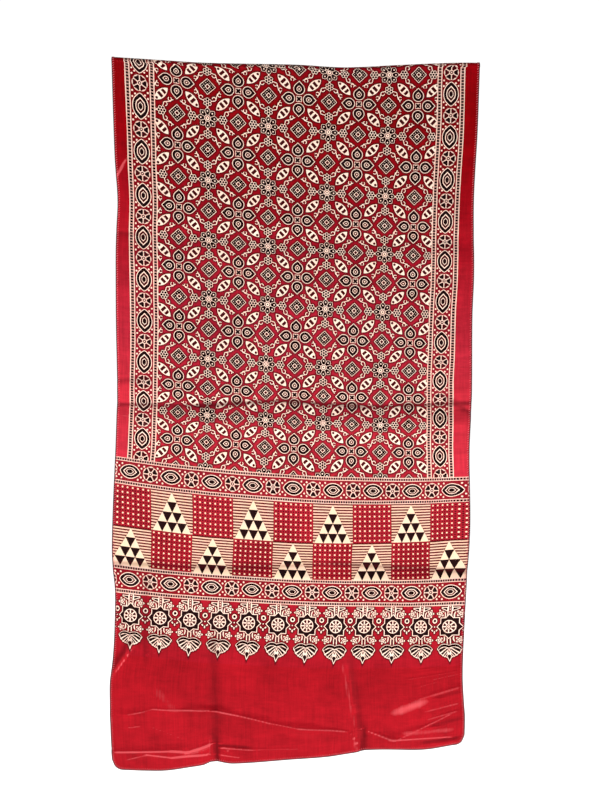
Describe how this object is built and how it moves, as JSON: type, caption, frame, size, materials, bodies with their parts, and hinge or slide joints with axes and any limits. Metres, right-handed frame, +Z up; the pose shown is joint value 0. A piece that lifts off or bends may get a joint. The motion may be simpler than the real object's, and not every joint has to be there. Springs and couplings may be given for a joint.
{
  "type": "mashru silk stole hung folded over a line",
  "caption": "Long printed silk stole hung folded over a line: a long front layer, a rounded fold at the top and a shorter back layer, with rounded hemmed corners.",
  "frame": {"origin": "on the inside of the fold, halfway along the line that the cloth hangs over", "axes": "+Z up, -Y out of the printed front layer, +X to the right as seen from the front"},
  "size_m": [0.5717, 0.0343, 1.11],
  "materials": {
    "printed_cloth": "satin-faced mashru silk, block printed in black, cream and dark red on crimson, with a fine overlocked edge"
  },
  "bodies": {
    "root": {"stole": "printed_cloth"}
  },
  "joints": []
}
